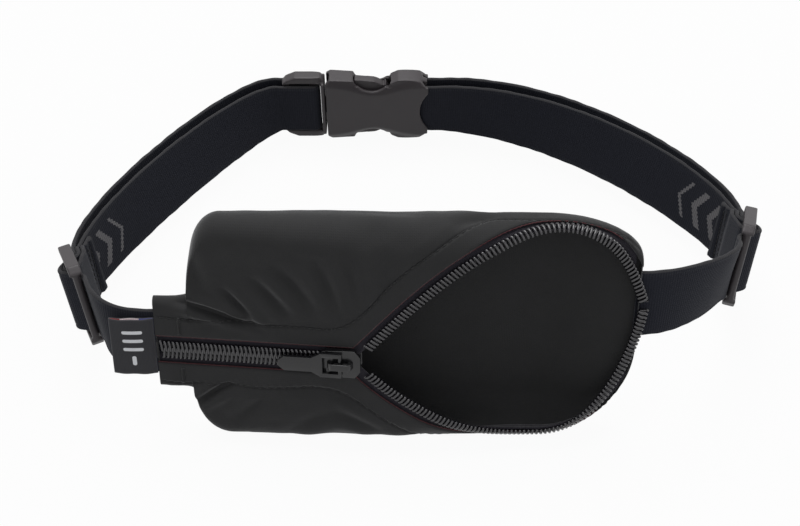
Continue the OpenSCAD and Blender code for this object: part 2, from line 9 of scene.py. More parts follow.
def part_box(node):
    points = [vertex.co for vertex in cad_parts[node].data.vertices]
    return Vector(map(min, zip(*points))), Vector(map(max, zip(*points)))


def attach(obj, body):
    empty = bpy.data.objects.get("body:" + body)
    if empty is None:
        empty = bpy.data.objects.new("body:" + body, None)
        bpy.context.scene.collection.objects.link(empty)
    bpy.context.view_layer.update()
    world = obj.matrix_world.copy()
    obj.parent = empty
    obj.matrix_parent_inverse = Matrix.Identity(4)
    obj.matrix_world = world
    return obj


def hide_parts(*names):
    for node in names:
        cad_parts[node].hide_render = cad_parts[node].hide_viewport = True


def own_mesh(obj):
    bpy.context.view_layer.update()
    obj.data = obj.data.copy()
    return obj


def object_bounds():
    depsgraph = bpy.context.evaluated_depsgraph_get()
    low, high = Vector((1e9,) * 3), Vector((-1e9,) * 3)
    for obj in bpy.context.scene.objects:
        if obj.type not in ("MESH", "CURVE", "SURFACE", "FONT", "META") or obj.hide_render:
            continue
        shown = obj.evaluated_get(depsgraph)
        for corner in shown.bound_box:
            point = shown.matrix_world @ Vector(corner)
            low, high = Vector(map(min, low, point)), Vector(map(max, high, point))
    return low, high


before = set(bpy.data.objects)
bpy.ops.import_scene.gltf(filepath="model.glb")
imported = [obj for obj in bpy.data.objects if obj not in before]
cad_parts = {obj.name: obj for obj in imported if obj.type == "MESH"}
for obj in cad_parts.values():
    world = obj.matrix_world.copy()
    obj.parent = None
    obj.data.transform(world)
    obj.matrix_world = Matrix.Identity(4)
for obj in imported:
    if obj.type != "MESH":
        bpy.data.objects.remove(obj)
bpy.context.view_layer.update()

# ------------------------------------------------------------------ sizes, in mm
HALF_L, POUCH_H, HALF_T, HALF_TAB = 84.0, 86.0, 11.0, 2.4
TAB_H, TAB_L, LEFT_TAB, RIGHT_TAB = 36.0, 12.0, 37.0, 52.0
LEFT_CORNER, RIGHT_CORNER, LEAN, MID_D = 13.0, 33.0, 22.0, 5.0
ZIP_Z, CLOSED_L, CHAIN_HALF, STITCH_R = 35.0, 72.0, 5.9, 13.0
SLIDER_FRONT = CLOSED_L - HALF_L
POUCH_Y, BACK_Y, BUCKLE_Z = -16.0, 143.0, 17.0
STRAP_W, STRAP_T, BAR_R, GAP, PITCH = 25.4, 1.6, 1.5, 0.3, 10.5
GLIDE_HALF, FLAP_L = 14.0, 27.0
RING_1 = BAR_R + GAP + STRAP_T / 2
RING_2 = RING_1 + STRAP_T + GAP
RING_3 = RING_2 + STRAP_T + GAP
LOOP_LEAN, SPREAD = 20.0, 3.0
# tri-glide centre, heading, fall, x of the buckle's bar, tab height, lead, turn
LEFT_SIDE = ((117.0, 30.0, 26.5), 65.0, 22.0, 36.1, LEFT_TAB, 14.4, 17.0)
RIGHT_SIDE = ((130.0, 47.0, 28.5), 72.0, 25.0, 11.5, RIGHT_TAB, 5.0, 64.0)

BASE_X = -HALF_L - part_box("pouch_back_panel")[0].x * 1000
BASE_Y = BACK_Y - sum(c.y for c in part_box("buckle_female")) * 500
FLOOR_Z = HALF_T * (1 - math.cos(math.radians(LEAN))) + MID_D * math.sin(math.radians(LEAN))
rng = np.random.RandomState(4)


# ------------------------------------------------------------------ helpers
def turn(axis, degrees):
    return np.array(Matrix.Rotation(math.radians(degrees), 3, axis))


def ease(t):
    c = np.clip(t, 0, 1)
    return c * c * (3 - 2 * c)


def round_off(t):
    return np.sqrt(1 - (1 - np.clip(t, 0, 1)) ** 2)


def soft_min(a, b, k=1.2):
    return 0.5 * (a + b - np.sqrt((a - b) ** 2 + k * k))


def distance_along(points):
    """Distance of each point from the first, along the line through them."""
    return np.concatenate([[0], np.cumsum(np.linalg.norm(np.diff(points, axis=0), axis=1))])


def bezier(p, t):
    p, t = np.array(p, float), np.asarray(t, float)[:, None]
    u = 1 - t
    return u**3 * p[0] + 3 * u * u * t * p[1] + 3 * u * t * t * p[2] + t**3 * p[3]


def bezier_way(p, t):
    p, t = np.array(p, float), np.asarray(t, float)[:, None]
    u = 1 - t
    return u * u * (p[1] - p[0]) + 2 * u * t * (p[2] - p[1]) + t * t * (p[3] - p[2])


def to_row(points):
    """Points in the layout's millimetres, to metres in the row frame."""
    return (np.asarray(points, float) - [BASE_X, BASE_Y, 0]) / 1000


POUCH_TURN = turn("X", -LEAN)


def in_pouch(points):
    return to_row(np.asarray(points) @ POUCH_TURN.T + [0, POUCH_Y, FLOOR_Z])


def make(name, verts, faces, material, slot, nodes=(), body="belt", smooth=True, **attributes):
    mesh = bpy.data.meshes.new(name)
    mesh.from_pydata([tuple(v) for v in verts], [], faces)
    mesh.update()
    for key, values in attributes.items():
        values = np.asarray(values, np.float32)
        kind = "FLOAT_VECTOR" if values.ndim == 2 else "FLOAT"
        layer = mesh.attributes.new(key, kind, "POINT")
        layer.data.foreach_set("vector" if values.ndim == 2 else "value", values.ravel())
    mesh.polygons.foreach_set("use_smooth", [smooth] * len(mesh.polygons))
    mesh.materials.append(material)
    obj = bpy.data.objects.new(name, mesh)
    bpy.context.scene.collection.objects.link(obj)
    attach(obj, body)
    if nodes:
        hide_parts(*nodes)
    return obj


def grid_faces(columns, rows, start=0, wrap=False, flip=False):
    i, j = np.meshgrid(np.arange(columns - 1), np.arange(rows if wrap else rows - 1), indexing="ij")
    k = (j + 1) % rows
    a, b, c, d = i * rows + j, (i + 1) * rows + j, (i + 1) * rows + k, i * rows + k
    quads = np.stack([a, d, c, b] if flip else [a, b, c, d], -1).reshape(-1, 4) + start
    return [tuple(int(v) for v in q) for q in quads]


def tube(points, radius, normals, sides=6):
    """Vertices and faces of a tube along points, with normals that its rings start from."""
    points, normals = np.asarray(points, float), np.asarray(normals, float)
    way = np.gradient(points, axis=0)
    way /= np.linalg.norm(way, axis=1)[:, None]
    n = normals - (normals * way).sum(1)[:, None] * way
    n /= np.linalg.norm(n, axis=1)[:, None]
    side = np.cross(way, n)
    a = np.arange(sides) * 2 * math.pi / sides
    ring = n[:, None] * np.cos(a)[None, :, None] + side[:, None] * np.sin(a)[None, :, None]
    verts = (points[:, None] + ring * radius).reshape(-1, 3)
    faces = grid_faces(len(points), sides, wrap=True)
    faces += [tuple(range(sides))[::-1], tuple(len(verts) - sides + k for k in range(sides))]
    return verts, faces


def joined(parts):
    verts, faces, start = [], [], 0
    for v, f in parts:
        verts.append(np.asarray(v))
        faces += [tuple(k + start for k in face) for face in f]
        start += len(v)
    return np.concatenate(verts), faces


# ------------------------------------------------------------------ pouch shape
def top_at(x):
    left_end, right_end = LEFT_TAB + TAB_H / 2, RIGHT_TAB + TAB_H / 2
    left = left_end + (POUCH_H - left_end) * round_off((x + HALF_L - TAB_L) / LEFT_CORNER)
    right = right_end + (POUCH_H - right_end) * round_off((HALF_L - x) / RIGHT_CORNER)
    return np.where(x < 0, left, right)


def bottom_at(x):
    left = (LEFT_TAB - TAB_H / 2) * (1 - round_off((x + HALF_L - TAB_L) / LEFT_CORNER))
    right = (RIGHT_TAB - TAB_H / 2) * (1 - round_off((HALF_L - x) / RIGHT_CORNER))
    return np.where(x < 0, left, right)


def depth_at(x):
    left = HALF_TAB + (HALF_T - HALF_TAB) * (x + HALF_L) / CLOSED_L
    right = HALF_TAB + (HALF_T - HALF_TAB) * ease((HALF_L - x) / RIGHT_CORNER)
    return np.where(x < SLIDER_FRONT, left, right)


def section(x):
    """Middle height, half the flat height, and half the thickness at x."""
    b = depth_at(x)
    top, bottom = top_at(x), bottom_at(x)
    return (top + bottom) / 2, (top - bottom) / 2 - b, b


def ridge(x, side):
    middle, flat, b = section(x)
    return middle + side * (flat + b * math.pi / 2)


def skin(x, v, off, side=1):
    """A point on the pouch: v is the height along its face, off the distance outside it."""
    x, v, off = np.broadcast_arrays(np.asarray(x, float), v, off)
    middle, flat, b = section(x)
    s = v - middle
    over = np.maximum(np.abs(s) - flat, 0) / b
    r = b + off
    z = middle + np.where(over > 0, np.sign(s) * (flat + r * np.sin(over)), s)
    return np.stack([x, MID_D - side * r * np.cos(over), z], -1)


def face_v(x, z):
    middle, flat, b = section(x)
    w = z - middle
    over = np.abs(w) - flat
    return np.where(over <= 0, z, middle + np.sign(w) * (flat + b * np.arcsin(np.clip(over / b, 0, 1))))


def chain(side, count=240):
    """The chain's middle line in (x, v): closed from the left end, then one edge of the mouth."""
    closed = np.stack([np.linspace(-HALF_L, SLIDER_FRONT, 60), np.full(60, ZIP_Z)], 1)
    lead, far = ((16.0, 67.0), (64.0, 117.0)) if side > 0 else ((8.0, 10.0), (74.0, -28.0))
    p = bezier([(SLIDER_FRONT, ZIP_Z), lead, far, (HALF_L, RIGHT_TAB)], np.linspace(0, 1, count))
    v = face_v(p[:, 0], p[:, 1])
    middle = section(p[:, 0])[0]
    limit = np.abs(ridge(p[:, 0], 1) - middle) - 5.5
    s = v - middle
    s = np.sign(s) * soft_min(np.abs(s), limit, 2.0)
    return closed, np.stack([p[:, 0], middle + s], 1)


CHAIN = {side: chain(side) for side in (1, -1)}


def chain_edge(x, radius, side, room):
    """Height at x of the line that lies radius from the chain, kept off the ridge by room."""
    line = np.concatenate(CHAIN[side])
    d = np.asarray(x, float)[:, None] - line[None, :, 0]
    rise = np.where(np.abs(d) < radius, np.sqrt(np.maximum(radius**2 - d * d, 0)), np.nan)
    e = np.nanmax(side * line[None, :, 1] + rise, axis=1)
    return side * soft_min(e, side * ridge(np.asarray(x, float), side) - room)


def nearest(x, v, line_x, line_v, block=4000):
    """Distance of each point from the nearest point of a line, a block of points at a time."""
    out = np.empty(len(x))
    for k in range(0, len(x), block):
        d = (x[k : k + block, None] - line_x) ** 2
        d += (v[k : k + block, None] - line_v) ** 2
        out[k : k + block] = np.sqrt(d.min(1))
    return out


def chain_distance(x, v, side):
    line = np.concatenate(CHAIN[side])[::2]
    return nearest(x.ravel(), v.ravel(), line[:, 0], line[:, 1]).reshape(x.shape)


# Folds of the stretch fabric, as (x, v) from and to, depth and width
FOLDS = [
    (-77, 55, -44, 44.5, 2.3, 1.5), (-60, 62, -47, 45.5, 1.5, 1.5), (-50, 67, -36, 51, 1.2, 2.0),
    (-42, 72, -27, 53, 1.1, 2.3), (-28, 76, -19, 52, 1.0, 2.2), (-17, 75, -13, 53, 0.8, 2.1),
    (-71, 78, -66, 57, 0.7, 2.6), (-5, 80, -3, 58, 0.5, 2.8), (-72, 13, -55, 24.5, 2.1, 1.5),
    (-58, 6, -42, 20, 1.0, 2.4), (-40, 3, -22, 13, 0.8, 2.6), (-24, 14, -4, 5, 0.9, 2.0),
    (-8, -2, 12, -4, 0.6, 2.4), (18, 86, 36, 92, 0.9, 2.2), (42, 88, 58, 91, 0.8, 1.8),
    (-16, 96, 10, 92, 0.8, 3.0), (58, 84, 68, 88, 0.6, 1.6), (60, 8, 72, 22, 0.6, 2.2),
]


def folds(x, v):
    """Height of the creases, and of the soft swell beside each."""
    out = np.zeros(x.shape)
    for x0, v0, x1, v1, depth, width in FOLDS:
        run = math.hypot(x1 - x0, v1 - v0)
        tx, tv = (x1 - x0) / run, (v1 - v0) / run
        along = ((x - x0) * tx + (v - v0) * tv) / run
        bow = 0.12 * run * (along - along**2)
        across = (-(x - x0) * tv + (v - v0) * tx) - bow
        fade = np.sin(np.pi * np.clip(along, 0, 1)) ** 0.8 * (along > 0) * (along < 1)
        crease = -np.exp(-((across / width) ** 2))
        swell = 0.75 * np.exp(-(((np.abs(across) - 2.1 * width) / (1.3 * width)) ** 2))
        out += fade * depth * (crease + swell)
    return out


def waves(x, v, scale, seed):
    r = np.random.RandomState(seed)
    out = np.zeros(x.shape)
    for _ in range(9):
        a, f = r.uniform(0, 2 * math.pi), r.uniform(0.6, 1.5) / scale
        out += np.sin(f * (x * math.cos(a) + v * math.sin(a)) + r.uniform(0, 6.28))
    return out / 9


def stitch_line(side):
    """The topstitching along the hem, eased round the slider and a little uneven."""
    x = np.linspace(-HALF_L, HALF_L, 673)
    v = side * chain_edge(x, STITCH_R, side, 2.6)
    near = np.exp(-((np.arange(-100, 101) / 4 / 6.5) ** 2) / 2)
    padded = np.concatenate([np.full(100, v[0]), v, np.full(100, v[-1])])
    soft = np.convolve(padded, near / near.sum(), "same")[100:-100]
    v = v + (soft - v) * (1 - ease((x - 20) / 20))
    v = v - 1.9 * np.exp(-(((x + 19) / 13) ** 2))
    v = v + 0.35 * np.sin(x * 0.21 + side) * (1 - ease((x - 30) / 20))
    return x, side * v


STITCHES = {side: stitch_line(side) for side in (1, -1)}


def seam_distance(x, v, side):
    """Distance from the topstitching, negative on the zip's side of it."""
    lx, lv = STITCHES[side]
    px, pv = x.ravel(), v.ravel()
    out = nearest(px, pv, lx[::2], lv[::2])
    out = np.where(side * (pv - np.interp(px, lx, lv)) > 0, out, -out)
    return out.reshape(x.shape)


def relief(x, v, side):
    """How far the front fabric stands out from its plain shape."""
    far = chain_distance(x, v, side)
    seam = seam_distance(x, v, side)
    free = ease((far - 6) / 8) * ease((HALF_L - np.abs(x)) / 5)
    over = side * (v - ridge(x, side))
    slack = folds(x, v) * (0.35 + 0.65 * ease((seam + 1.5) / 2.5))
    slack = slack + 0.6 * waves(x, v, 7.0, 3) + 0.2 * waves(x * 1.4 + v, v - x, 2.6, 5)
    loose = free * slack
    loose *= 1 - 0.35 * ease((over + 3) / 3)
    roll = 1.9 * np.exp(-(((x * 0.06 + 84 - side * v) / 8.5) ** 2)) * free * ease((4 - x) / 40) * (side > 0)
    puff = roll + 0.6 * ease(seam / 5) * free * ease((HALF_L - TAB_L - np.abs(x)) / 6 + 0.4)
    pucker = 0.13 * np.sin(x * 2.1 + 0.7 * v) * np.exp(-((seam / 1.8) ** 2))
    hem = 0.34 * (1 - ease((seam + 0.5) / 1.0)) * ease((far - CHAIN_HALF + 0.8) / 1.6)
    groove = 0.5 * np.exp(-((seam / 0.5) ** 2))
    closing = ease((HALF_L - np.abs(x)) / 3)
    return loose + puff + (pucker + hem - groove) * closing


def columns(step=0.75):
    """Places along the pouch for its rows of points, closer together round its corners."""
    tab = np.linspace(-HALF_L, TAB_L - HALF_L, 14)[:-1]
    corner = TAB_L - HALF_L + LEFT_CORNER * (1 - np.cos(np.linspace(0, math.pi / 2, 24)))
    x0, x1 = TAB_L - HALF_L + LEFT_CORNER, HALF_L - RIGHT_CORNER
    middle = np.linspace(x0, x1, int((x1 - x0) / step))[1:-1]
    right = HALF_L - RIGHT_CORNER * (1 - np.sin(np.linspace(0, math.pi / 2, 50)))
    return np.concatenate([tab, corner, middle, right])


# ------------------------------------------------------------------ materials
def node_tree(name):
    m = bpy.data.materials.new(name)
    m.use_nodes = True
    tree = m.node_tree
    return m, tree, tree.nodes["Principled BSDF"]


class Shader:
    """Small helper that adds nodes and links them."""

    def __init__(self, name, colour, rough, **inputs):
        self.material, self.tree, self.bsdf = node_tree(name)
        self.bsdf.inputs["Base Color"].default_value = (*colour, 1)
        self.bsdf.inputs["Roughness"].default_value = rough
        for key, value in inputs.items():
            self.bsdf.inputs[key.replace("_", " ")].default_value = value

    def add(self, kind, settings=(), **links):
        node = self.tree.nodes.new(kind)
        for key, value in dict(settings).items():
            setattr(node, key, value)
        for key, value in links.items():
            numbered = key[0] == "i" and key[1:].isdigit()
            socket = node.inputs[int(key[1:]) if numbered else key.replace("_", " ")]
            if isinstance(value, bpy.types.NodeSocket):
                self.tree.links.new(value, socket)
            else:
                socket.default_value = value
        return node

    def math(self, operation, a, b=0.0, c=0.0):
        return self.add("ShaderNodeMath", {"operation": operation}, i0=a, i1=b, i2=c).outputs[0]

    def coordinate(self, name="weave"):
        node = self.add("ShaderNodeAttribute", {"attribute_name": name})
        split = self.add("ShaderNodeSeparateXYZ", i0=node.outputs["Vector"])
        return node.outputs["Vector"], split.outputs[0], split.outputs[1]

    def wave(self, value, pitch, phase=0.0):
        """0 to 1 and back over one pitch."""
        turned = self.math("MULTIPLY_ADD", value, 2 * math.pi / pitch, phase)
        return self.math("MULTIPLY_ADD", self.math("SINE", turned), 0.5, 0.5)

    def noise(self, vector, scale, detail=3.0):
        return self.add("ShaderNodeTexNoise", Vector=vector, Scale=scale, Detail=detail).outputs[0]

    def mix(self, factor, a, b):
        node = self.add("ShaderNodeMix", {"data_type": "RGBA"})
        for index, value in ((0, factor), (6, a), (7, b)):
            if isinstance(value, bpy.types.NodeSocket):
                self.tree.links.new(value, node.inputs[index])
            else:
                node.inputs[index].default_value = (*value, 1) if index else value
        return node.outputs[2]

    def colour(self, socket):
        self.tree.links.new(socket, self.bsdf.inputs["Base Color"])

    def bump(self, height, strength, distance):
        node = self.add("ShaderNodeBump", Height=height, Strength=strength, Distance=distance)
        self.tree.links.new(node.outputs[0], self.bsdf.inputs["Normal"])


def object_vector(shader):
    return shader.add("ShaderNodeTexCoord").outputs["Object"]


def fabric_material(name, colour, light, pitch=0.62):
    s = Shader(name, colour, 0.85, Sheen_Weight=0.3, Sheen_Roughness=0.4, Specular_IOR_Level=0.3)
    vector, x, v = s.coordinate()
    shifted = s.math("ADD", v, s.math("MULTIPLY", s.wave(x, pitch * 2), 0.2))
    knit = s.math("MULTIPLY", s.wave(x, pitch), s.wave(shifted, pitch * 1.25))
    cloudy = s.noise(vector, 0.09, 4.0)
    fine = s.noise(vector, 1.9, 2.0)
    s.colour(s.mix(s.math("MULTIPLY_ADD", cloudy, 0.5, s.math("MULTIPLY", fine, 0.35)), colour, light))
    s.bump(s.math("ADD", s.math("MULTIPLY", knit, 0.7), s.math("MULTIPLY", fine, 0.6)), 0.35, 0.00018)
    return s.material


def strap_material():
    dark, light = (0.0078, 0.0084, 0.0128), (0.0165, 0.0182, 0.0262)
    sheen = {"Sheen_Weight": 0.06, "Sheen_Roughness": 0.45}
    s = Shader("strap_elastic", dark, 0.85, Specular_IOR_Level=0.16, **sheen)
    vector, u, v = s.coordinate()
    rib = s.wave(u, 0.95)
    warp = s.wave(v, 0.85)
    weave = s.math("MULTIPLY_ADD", rib, 0.65, s.math("MULTIPLY", warp, 0.35))
    fine = s.noise(vector, 1.4, 3.0)
    across = s.math("ABSOLUTE", v)
    edge = s.math("GREATER_THAN", across, 12.15)
    before_edge = s.math("LESS_THAN", across, 12.15)
    inner_edge = s.math("MULTIPLY", s.math("GREATER_THAN", across, 10.6), before_edge)
    body = s.mix(s.math("MULTIPLY_ADD", weave, 0.45, s.math("MULTIPLY", fine, 0.5)), dark, light)
    body = s.mix(s.math("MULTIPLY", inner_edge, s.math("MULTIPLY", rib, 0.5)), body, (0.026, 0.028, 0.034))
    # painted highlight: the rounded rim beyond 12.15 mm from the middle (the edge mask) is painted lighter
    body = s.mix(s.math("MULTIPLY", edge, 0.75), body, (0.04, 0.039, 0.04))
    # woven marks: slanted bars between two chevrons, where the motif attribute allows them
    node = s.add("ShaderNodeAttribute", {"attribute_name": "motif"})
    split = s.add("ShaderNodeSeparateXYZ", i0=node.outputs["Vector"])
    mu, mv = split.outputs[0], split.outputs[1]
    jag = s.math("MULTIPLY", s.math("SUBTRACT", s.wave(mv, 1.5), 0.5), 0.5)
    slant = s.math("ADD", s.math("MULTIPLY_ADD", s.math("ABSOLUTE", mv), -0.55, mu), jag)
    phase = s.math("FRACT", s.math("MULTIPLY", s.math("ADD", slant, 60.0), 1 / 9.0))
    bar = s.math("LESS_THAN", phase, 0.34)
    in_length = s.math("LESS_THAN", s.math("ABSOLUTE", slant), 13.4)
    in_width = s.math("LESS_THAN", s.math("ABSOLUTE", mv), 8.2)
    allowed = s.math("GREATER_THAN", split.outputs[2], 0.5)
    mark = s.math("MULTIPLY", s.math("MULTIPLY", bar, s.math("MULTIPLY", in_length, in_width)), allowed)
    body = s.mix(mark, body, s.mix(s.math("MULTIPLY", rib, 0.6), (0.17, 0.165, 0.17), (0.09, 0.088, 0.092)))
    s.colour(body)
    s.bump(s.math("ADD", weave, s.math("MULTIPLY", fine, 0.4)), 0.5, 0.0002)
    return s.material


def plastic_material():
    s = Shader("hardware_plastic", (0.04, 0.037, 0.039), 0.45, Specular_IOR_Level=0.3)
    vector = object_vector(s)
    grain = s.noise(vector, 2600.0, 2.0)
    broad = s.noise(vector, 60.0, 3.0)
    s.colour(s.mix(broad, (0.034, 0.0295, 0.032), (0.049, 0.0435, 0.046)))
    s.tree.links.new(s.math("MULTIPLY_ADD", broad, 0.16, 0.36), s.bsdf.inputs["Roughness"])
    node = s.add("ShaderNodeAttribute", {"attribute_name": "own"})
    split = s.add("ShaderNodeSeparateXYZ", i0=node.outputs["Vector"])
    seam = s.math("LESS_THAN", s.math("ABSOLUTE", split.outputs[1]), 0.16)
    outer = s.math("GREATER_THAN", s.math("ABSOLUTE", split.outputs[2]), 13.4)
    line = s.math("MULTIPLY", seam, outer)
    s.bump(s.math("MULTIPLY_ADD", line, -3.0, grain), 0.2, 0.0001)
    return s.material


def coil_material():
    s = Shader("zip_coil", (0.009, 0.008, 0.011), 0.24, Specular_IOR_Level=0.7)
    vector = object_vector(s)
    s.bump(s.noise(vector, 3500.0, 2.0), 0.12, 0.00005)
    return s.material


def slider_material():
    s = Shader("zip_slider", (0.008, 0.008, 0.009), 0.22, Specular_IOR_Level=0.5)
    vector = object_vector(s)
    s.colour(s.mix(s.noise(vector, 180.0, 4.0), (0.005, 0.005, 0.006), (0.01, 0.01, 0.011)))
    s.bump(s.noise(vector, 1800.0, 3.0), 0.15, 0.0001)
    return s.material


def tape_material():
    s = Shader("zip_tape", (0.012, 0.011, 0.016), 0.8, Sheen_Weight=0.2, Specular_IOR_Level=0.25)
    _, x, v = s.coordinate()
    twill = s.wave(s.math("ADD", x, s.math("MULTIPLY", s.math("PINGPONG", v, 1.2), 0.9)), 0.7)
    s.colour(s.mix(twill, (0.009, 0.008, 0.012), (0.024, 0.021, 0.03)))
    s.bump(twill, 0.5, 0.00015)
    return s.material


def thread_material(name, colour, light):
    s = Shader(name, colour, 0.7, Sheen_Weight=0.2, Specular_IOR_Level=0.3)
    vector = object_vector(s)
    s.colour(s.mix(s.noise(vector, 2200.0, 2.0), colour, light))
    s.bump(s.noise(vector, 5000.0, 2.0), 0.3, 0.00005)
    return s.material


def label_material():
    dark = (0.022, 0.022, 0.025)
    s = Shader("label_face", dark, 0.8, Sheen_Weight=0.2, Specular_IOR_Level=0.25)
    _, x, v = s.coordinate()
    satin = s.math("MULTIPLY_ADD", s.wave(x, 0.5), 0.6, s.math("MULTIPLY", s.wave(v, 0.42), 0.4))
    body = s.mix(satin, dark, (0.034, 0.034, 0.038))

    def past(value, centre, half):
        away = s.math("ABSOLUTE", s.math("SUBTRACT", value, centre))
        return s.math("MAXIMUM", s.math("SUBTRACT", away, half), 0.0)

    def rounded(cx, cv, half_x, half_v, radius):
        dx, dv = past(x, cx, half_x - radius), past(v, cv, half_v - radius)
        far = s.math("SQRT", s.math("ADD", s.math("MULTIPLY", dx, dx), s.math("MULTIPLY", dv, dv)))
        return s.math("LESS_THAN", far, radius)

    # three plain bars and one short upright bar
    marks = rounded(-92.0, 42.0, 3.6, 0.65, 0.6)
    for height in (38.6, 35.2):
        marks = s.math("MAXIMUM", marks, rounded(-92.0, height, 3.6, 0.65, 0.6))
    marks = s.math("MAXIMUM", marks, rounded(-92.0, 30.6, 0.75, 1.9, 0.7))
    s.colour(s.mix(marks, body, (0.78, 0.79, 0.8)))
    s.bump(s.math("MULTIPLY_ADD", marks, 0.6, satin), 0.4, 0.00012)
    return s.material


def lining_material():
    s = Shader("label_lining", (0.3, 0.3, 0.3), 0.8, Sheen_Weight=0.2)
    _, x, _ = s.coordinate()
    body = s.mix(s.math("GREATER_THAN", x, -96.0), (0.22, 0.012, 0.016), (0.62, 0.52, 0.54))
    body = s.mix(s.math("GREATER_THAN", x, -89.4), body, (0.07, 0.08, 0.24))
    s.colour(s.mix(s.math("MULTIPLY", s.wave(x, 0.6), 0.3), body, (0.02, 0.02, 0.02)))
    return s.material


FABRIC = fabric_material("pouch_fabric", (0.0118, 0.0118, 0.012), (0.026, 0.026, 0.0265))
STRAP = strap_material()
PLASTIC = plastic_material()
COIL = coil_material()
SLIDER = slider_material()
TAPE = tape_material()
THREAD = thread_material("thread", (0.004, 0.004, 0.004), (0.011, 0.011, 0.012))
RED_THREAD = thread_material("thread_red", (0.045, 0.006, 0.009), (0.09, 0.012, 0.017))
LABEL = label_material()
LINING = lining_material()


# ------------------------------------------------------------------ pouch panels
def front_panel(name, side):
    x = columns()
    rows, inner_rows = 120, 14
    edge = chain_edge(x, CHAIN_HALF, side, 1.5)
    end = ridge(x, side)
    f = np.linspace(0, 1, rows) ** 1.05
    v = edge[:, None] + (end + side * 1.5 - edge)[:, None] * f[None, :]
    xs = np.repeat(x[:, None], rows, 1)
    off = relief(xs, v, side)
    past = side * (v - end[:, None])
    off = np.where(past > 0, off - 0.05 * past, off)
    lip = [(-0.28, -0.12), (-0.42, -0.4), (-0.36, -0.75), (-0.1, -1.0)]
    vi = edge[:, None] + (end - edge)[:, None] * np.linspace(0.01, 0.99, inner_rows)[None, :]
    all_v = np.concatenate([vi[:, ::-1]] + [(edge + side * dv)[:, None] for dv, _ in lip[::-1]] + [v], 1)
    inner_off = np.full(vi.shape, -1.05)
    all_off = np.concatenate([inner_off] + [np.full((len(x), 1), o) for _, o in lip[::-1]] + [off], 1)
    xx = np.repeat(x[:, None], all_v.shape[1], 1)
    p = skin(xx, all_v, all_off)
    weave = np.stack([xx, all_v, all_off], -1).reshape(-1, 3)
    faces = grid_faces(*all_v.shape, flip=side < 0)
    make(name, in_pouch(p.reshape(-1, 3)), faces, FABRIC, "pouch_fabric", [name], weave=weave)


def back_panel():
    x = columns(1.2)
    rows = 90
    f = np.linspace(-1, 1, rows)
    middle = section(x)[0]
    high = ridge(x, 1) - middle
    v = middle[:, None] + high[:, None] * f[None, :]
    xx = np.repeat(x[:, None], rows, 1)
    free = ease((HALF_L - np.abs(xx)) / 8) * ease((high[:, None] - np.abs(v - middle[:, None])) / 12)
    off = free * (0.5 * waves(xx, v, 8.0, 8) + 0.16 * waves(xx, v, 2.6, 9) - 0.25)
    # the front's relief carries on over the rounded edge and fades out 9 mm in
    rim = {s: relief(xx[:, :1], ridge(x, s)[:, None], s) for s in (1, -1)}
    blend = {s: ease((s * f[None, :] * high[:, None] - high[:, None] + 9) / 9) for s in (1, -1)}
    off = off + rim[1] * blend[1] + rim[-1] * blend[-1]
    outer = skin(xx, v, off, -1)
    inner = skin(xx, v, -1.0, -1)
    verts = np.concatenate([outer.reshape(-1, 3), inner.reshape(-1, 3)])
    faces = grid_faces(len(x), rows, flip=True) + grid_faces(len(x), rows, start=len(x) * rows)
    weave = np.tile(np.stack([xx, v, 0 * v], -1).reshape(-1, 3), (2, 1))
    name = "pouch_back_panel"
    make(name, in_pouch(verts), faces, FABRIC, "pouch_fabric", [name], weave=weave)


def tab_end(name, x, inset):
    """The sewn end of the pouch, closed round the strap."""
    a = np.linspace(0, 2 * math.pi, 48, endpoint=False)
    middle, flat, b = (float(q[0]) for q in section(np.array([x])))
    rings = []
    for shrink, push in ((0.25, 0.0), (0.5, 0.35), (0.95, 0.5), (b - 0.85, 0.45)):
        r = b - shrink
        end = x + math.copysign(inset - push, -x)
        for t in a:
            height = middle + (flat if math.sin(t) > 0 else -flat) + r * math.sin(t)
            rings.append((end, MID_D + r * math.cos(t), height))
    verts = np.array(rings)
    faces = grid_faces(len(verts) // len(a), len(a), wrap=True, flip=x > 0)
    last = len(verts) - len(a)
    faces.append(tuple(last + k for k in range(len(a)))[:: 1 if x < 0 else -1])
    weave = np.stack([verts[:, 1], verts[:, 2], 0 * verts[:, 0]], 1)
    make(name, in_pouch(verts), faces, FABRIC, "pouch_fabric", weave=weave)


front_panel("pouch_upper_panel", 1)
front_panel("pouch_lower_panel", -1)
back_panel()
tab_end("pouch_tab_end_left", -HALF_L, 0.55)
tab_end("pouch_tab_end_right", HALF_L, 0.55)


# ------------------------------------------------------------------ stitching
def stitch_mesh(path, outward, length=2.1, gap=0.75, radius=0.17):
    """Short threads laid end to end along a path, each dipping into the cloth."""
    path, outward = np.asarray(path), np.asarray(outward)
    run = distance_along(path)
    parts, s = [], gap
    while s + length < run[-1]:
        t = np.linspace(s, s + length, 7)
        p = np.stack([np.interp(t, run, path[:, k]) for k in range(3)], 1)
        n = np.stack([np.interp(t, run, outward[:, k]) for k in range(3)], 1)
        dip = np.array([-0.28, -0.02, 0.08, 0.1, 0.08, -0.02, -0.28])
        parts.append(tube(p + n * dip[:, None], radius, n, 5))
        s += length + gap
    return joined(parts)


def pouch_line(x, v, off, side=1):
    p = skin(x, v, off, side)
    n = skin(x, v, off + 1.0, side) - p
    return p, n / np.linalg.norm(n, axis=1)[:, None]


def topstitch(name, side, x0, x1):
    x = np.linspace(x0, x1, 500)
    v = np.interp(x, *STITCHES[side])
    off = relief(x[:, None], v[:, None], side)[:, 0] + 0.12
    p, n = pouch_line(x, v, off)
    verts, faces = stitch_mesh(p, n)
    make(name, in_pouch(verts), faces, THREAD, "thread")


topstitch("topstitch_upper", 1, -83, 79)
topstitch("topstitch_lower", -1, -83, 76)


